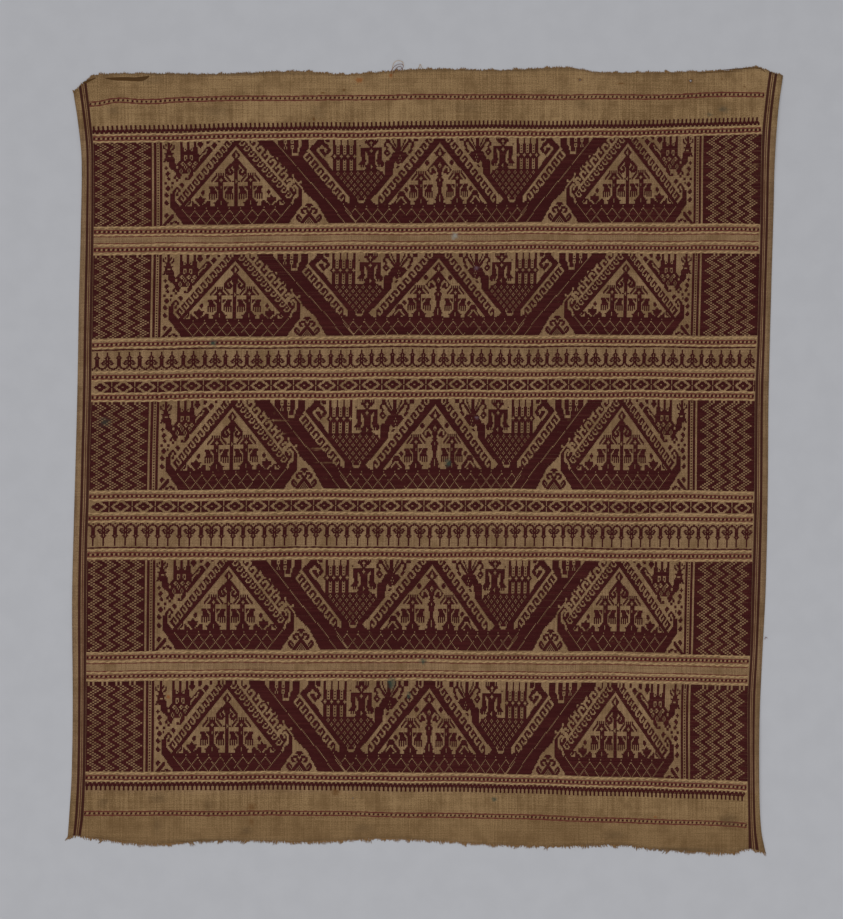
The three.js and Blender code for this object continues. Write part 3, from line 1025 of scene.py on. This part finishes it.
def height(name, description, default, least, most):
    return bpy.props.FloatProperty(name=name, description=description, default=default, min=least, max=most,
                                   unit="LENGTH", subtype="DISTANCE")


class TampanSettings(bpy.types.PropertyGroup):
    """The sizes that a user would change."""

    ground_thickness: height("Ground thickness", "Thickness of the plain weave under the pattern wefts",
                             0.00085, 0.0003, 0.002)
    float_height: height("Float height", "How far a pattern weft stands on the ground weave",
                         0.0003, 0.0001, 0.001)
    rib_height: height("Rib height", "How far a cream rib stands on the ground weave", 0.0004, 0.0001, 0.001)
    seed: bpy.props.IntProperty(name="Seed", description="Start of the random yarn tones", default=7, min=0)


class Step:
    """A step of the work, built with the settings of the panel."""

    def execute(self, context):
        self.build(context.scene.tampan)
        return {"FINISHED"}


class TAMPAN_OT_stage(Step, bpy.types.Operator):
    """Lay the pale floor and set the soft studio light and the camera"""

    bl_idname = "tampan.stage"
    bl_label = "Stage"
    floor_size = 6.0
    # a long lens straight above the cloth; the long side of the frame is its height, in metres
    frame_height, lens, sensor = 0.8795, 85.0, 36.0

    def build(self, settings):
        scene = bpy.context.scene
        scene.view_settings.view_transform = "Standard"
        half = self.floor_size / 2
        corners = [(x * half, y * half, 0) for x, y in ((-1, -1), (1, -1), (1, 1), (-1, 1))]
        mesh = bpy.data.meshes.new("floor")
        mesh.from_pydata(corners, [], [(0, 1, 2, 3)])
        s = Shader("pale_floor")
        grain = s.noise(40, 40, 3)
        paper = s.mix(grain.between(0.3, 0.7), dye(194, 195, 200), dye(197, 198, 203))
        mesh.materials.append(s.finish(paper, 0.9 + grain * 0.05, grain, 0.01 * MM, sheen=0))
        self.add("floor", mesh, (0, 0, 0))
        self.light("key", (0.4, -1.5, 4.2), 2.4, 68.5)
        self.light("fill", (-2.6, 2.0, 3.9), 3.4, 46.0)
        scene.world = scene.world or bpy.data.worlds.new("studio")
        scene.world.use_nodes = True
        background = scene.world.node_tree.nodes["Background"]
        background.inputs["Color"].default_value = (1, 1, 1, 1)
        background.inputs["Strength"].default_value = 0.308
        data = bpy.data.cameras.new("camera")
        data.lens, data.sensor_width = self.lens, self.sensor
        place = (-0.0037, 0.0010, self.frame_height * self.lens / self.sensor)
        scene.camera = self.add("camera", data, place)

    def add(self, name, data, place):
        thing = bpy.data.objects.new(name, data)
        thing.location = place
        bpy.context.scene.collection.objects.link(thing)
        return thing

    def light(self, name, place, size, power):
        """A square lamp that faces the middle of the cloth."""
        data = bpy.data.lights.new(name, "AREA")
        data.size, data.energy = size, power
        self.add(name, data, place).rotation_euler = (-Vector(place)).to_track_quat("-Z", "Y").to_euler()


class TAMPAN_OT_ground(Step, bpy.types.Operator):
    """Weave the plain cotton ground with its striped selvedges"""

    bl_idname = "tampan.ground"
    bl_label = "Ground cloth"
    columns = 96
    rows = 220

    def build(self, settings):
        u, v = np.meshgrid(np.linspace(0, 1, self.columns + 1), np.linspace(0, 1, self.rows + 1))
        x, y = place_in_panel(u, v)
        swell = swell_at(x, y)
        points = np.concatenate([np.stack([x, y, swell + lift], axis=-1).reshape(-1, 3)
                                 for lift in (ground_top(), UNDERSIDE)])
        top = np.arange(x.size).reshape(x.shape)
        under = top + x.size
        quads = [self.sheet(top), self.sheet(under[:, ::-1])]
        for over, below in ((top[0], under[0]), (top[-1, ::-1], under[-1, ::-1]),
                            (top[::-1, 0], under[::-1, 0]), (top[:, -1], under[:, -1])):
            quads.append(np.column_stack([below[:-1], below[1:], over[1:], over[:-1]]))
        left_edge, right_edge = x[:, :1], x[:, -1:]
        from_left = (x - left_edge) / (curve_through(FIELD_LEFT, y) - left_edge)
        from_right = (right_edge - x) / (right_edge - curve_through(FIELD_RIGHT, y))
        sides = {"from_left": np.tile(from_left.ravel(), 2), "from_right": np.tile(from_right.ravel(), 2)}
        piece = make_piece("ground_cloth", points, np.concatenate(quads), ground_material(), sides)
        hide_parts("woven_panel")

    def sheet(self, grid):
        a, b, c, d = grid[:-1, :-1], grid[:-1, 1:], grid[1:, 1:], grid[1:, :-1]
        return np.stack([a, b, c, d], axis=-1).reshape(-1, 4)


class TAMPAN_OT_ships(Step, bpy.types.Operator):
    """Weave the five ship bands in maroon floats"""

    bl_idname = "tampan.ships"
    bl_label = "Ship bands"

    def build(self, settings):
        material = yarn_material("maroon_yarn", MAROON, MAROON_FADED, 0.35)
        draft = ship_band_draft()
        limits = [(top, bottom) for kind, top, bottom in COURSES if kind == "ships"]
        for number, ((top, bottom), drop) in enumerate(zip(limits, SHIP_DROPS)):
            yarns = Yarns(settings.seed + number)
            lowered = np.concatenate([draft[:1].repeat(drop, axis=0), draft[:SHIP_ROWS - drop]])
            yarns.floats(lowered, "ships", top, bottom, settings.float_height / MM)
            yarns.mesh(f"ship_band_{number + 1}", material)


class TAMPAN_OT_borders(Step, bpy.types.Operator):
    """Weave the narrow bands of spears, stars and teeth, with the thin dark lines"""

    bl_idname = "tampan.borders"
    bl_label = "Narrow bands"

    def build(self, settings):
        crown = settings.float_height / MM
        drafts = {"spears": spear_draft(14), "spears_down": spear_draft(17)[::-1], "stars": star_draft(),
                  "teeth": teeth_draft(), "teeth_down": teeth_draft()[::-1]}
        yarns = Yarns(settings.seed + 20)
        for kind, top, bottom in COURSES:
            if kind in drafts:
                yarns.floats(drafts[kind], kind, top, bottom, crown)
            elif kind == "dark_line":
                yarns.line((top + bottom) / 2, (top - bottom) * 0.85, crown * 0.8)
        yarns.mesh("narrow_bands", yarn_material("maroon_border_yarn", MAROON, MAROON_FADED, 0.3))


class TAMPAN_OT_stripes(Step, bpy.types.Operator):
    """Weave the red wefts and the rows of dark and cream squares"""

    bl_idname = "tampan.stripes"
    bl_label = "Red stripes"

    def build(self, settings):
        crown = settings.float_height / MM
        red, dark, cream = (Yarns(settings.seed + n) for n in (30, 31, 32))
        for kind, top, bottom in COURSES:
            middle, height = (top + bottom) / 2, top - bottom
            if kind in ("dots", "end_dots"):
                for side in (-1, 1):
                    red.line(middle + side * height * 0.4, height * 0.13, crown * 0.7)
                small = 0.8 if kind == "end_dots" else 1.0
                dark.squares(1, 2.0 * small, middle, height * 0.27 * small, crown)
                cream.squares(3, 1.2 * small, middle, height * 0.2 * small, crown)
            elif kind == "red_line":
                red.line(middle, height / 2, crown * 0.7)
        red.mesh("red_wefts", yarn_material("red_yarn", ROSE, dye(116, 68, 52), 0.45))
        dark.mesh("dark_squares", yarn_material("maroon_square_yarn", MAROON, MAROON_FADED, 0.2))
        cream.mesh("cream_squares", yarn_material("cream_square_yarn", dye(158, 126, 90), TAN, 0.3))


class TAMPAN_OT_ribs(Step, bpy.types.Operator):
    """Weave the thick cream ribs that edge each band"""

    bl_idname = "tampan.ribs"
    bl_label = "Cream ribs"

    def build(self, settings):
        yarns = Yarns(settings.seed + 40)
        for kind, top, bottom in COURSES:
            if kind == "rib":
                yarns.rib((top + bottom) / 2, (top - bottom) / 2, settings.rib_height / MM)
        yarns.mesh("cream_ribs", yarn_material("cream_rib_yarn", CREAM, TAN_LIGHT, 0.25))


class TAMPAN_OT_edges(Step, bpy.types.Operator):
    """Fray the two cut ends, and add the dark strips of painted shadow in the folds of the hem, and the loose
    yarns
    """

    bl_idname = "tampan.edges"
    bl_label = "Frayed edges"
    warp_ends = 1300

    def build(self, settings):
        random = np.random.default_rng(settings.seed + 50)
        tan_yarn = yarn_material("loose_warp_yarn", dye(138, 106, 70), dye(88, 62, 36), 0.5)
        ends = [*self.fringe(random, 0, 5), *self.fringe(random, 1, 3)]
        ribbons("frayed_ends", ends, tan_yarn)
        # dark brown strips of painted shadow along the creases and turned lip of the hem
        folds = []
        for fold in FOLD_SHADOWS:
            x, y, half = self.smooth(fold)
            folds.append(np.column_stack([x, y, swell_at(x, y) + ground_top() + 0.05, half]))
        ribbons("fold_shadows", folds, yarn_material("fold_shadow_yarn", dye(82, 57, 30), dye(98, 70, 40), 0.3))
        for red, name, colour in ((True, "loose_red_yarns", ROSE), (False, "loose_pale_yarns", TAN_LIGHT)):
            routes = []
            for is_red, height, route in LOOSE_YARNS:
                if is_red == red:
                    x, y = self.smooth(route)
                    rise = height * np.sin(np.linspace(0.3, 2.6, len(x)))
                    routes.append(np.column_stack([x, y, ground_top() + rise, np.full(len(x), 0.22)]))
            ribbons(name, routes, yarn_material(f"{name}_twist", colour, TAN_DARK, 0.3))

    def smooth(self, route):
        route = np.array(route)
        share = np.arange(len(route))
        fine = np.linspace(0, len(route) - 1, len(route) * 6)
        return [curve_through(np.column_stack([share, column]), fine) for column in route.T]

    def fringe(self, random, v, reach):
        """Warp ends past the last weft; they hang together in tufts that lean one way."""
        count = self.warp_ends
        rooted = 0.8
        u = (np.arange(count) + random.uniform(0, 1, count)) / count
        x, y = place_in_panel(u, np.full(count, v))
        out = 1 if v else -1
        tuft = 0.5 + 0.5 * np.sin(x / 2.3 + 2 * np.sin(x / 17)) * np.sin(x / 9.1 + 1)
        length = reach * (0.1 + 0.5 * tuft ** 2 + 0.5 * random.uniform(0, 1, count) ** 2)
        lean = 0.35 * np.sin(x / 5.3) + 0.3 * np.sin(x / 23) + random.uniform(-0.35, 0.35, count)
        for i in range(count):
            t = np.array([0, 0.4, 0.75, 1.0])
            along = y[i] - out * rooted + out * (length[i] + rooted) * t
            across = x[i] + lean[i] * length[i] * t * t
            height = 0.5 + swell_at(x[i], y[i]) * (1 - t) + 0.15 * np.sin(t * 3)
            half = np.array([0.36, 0.36, 0.3, 0.1]) * random.uniform(0.7, 1.4)
            yield np.column_stack([across, along, height, half])


class TAMPAN_PT_panel(bpy.types.Panel):
    """Lists the steps that build the cloth"""

    bl_idname = "TAMPAN_PT_panel"
    bl_label = "Tampan cloth"
    bl_space_type = "VIEW_3D"
    bl_region_type = "UI"
    bl_category = "Tampan"

    def draw(self, context):
        settings = context.scene.tampan
        for name in ("ground_thickness", "float_height", "rib_height", "seed"):
            self.layout.prop(settings, name)
        for operator in OPERATORS:
            self.layout.operator(operator.bl_idname)


OPERATORS = (TAMPAN_OT_stage, TAMPAN_OT_ground, TAMPAN_OT_ships, TAMPAN_OT_borders, TAMPAN_OT_stripes,
             TAMPAN_OT_ribs, TAMPAN_OT_edges)
CLASSES = (TampanSettings, *OPERATORS, TAMPAN_PT_panel)


def register():
    for cls in CLASSES:
        bpy.utils.register_class(cls)
    bpy.types.Scene.tampan = bpy.props.PointerProperty(type=TampanSettings)


def unregister():
    del bpy.types.Scene.tampan
    for cls in reversed(CLASSES):
        bpy.utils.unregister_class(cls)


def main():
    register()
    bpy.ops.tampan.stage()
    bpy.ops.tampan.ground()
    bpy.ops.tampan.ships()
    bpy.ops.tampan.borders()
    bpy.ops.tampan.stripes()
    bpy.ops.tampan.ribs()
    bpy.ops.tampan.edges()


if __name__ == "__main__":
    main()
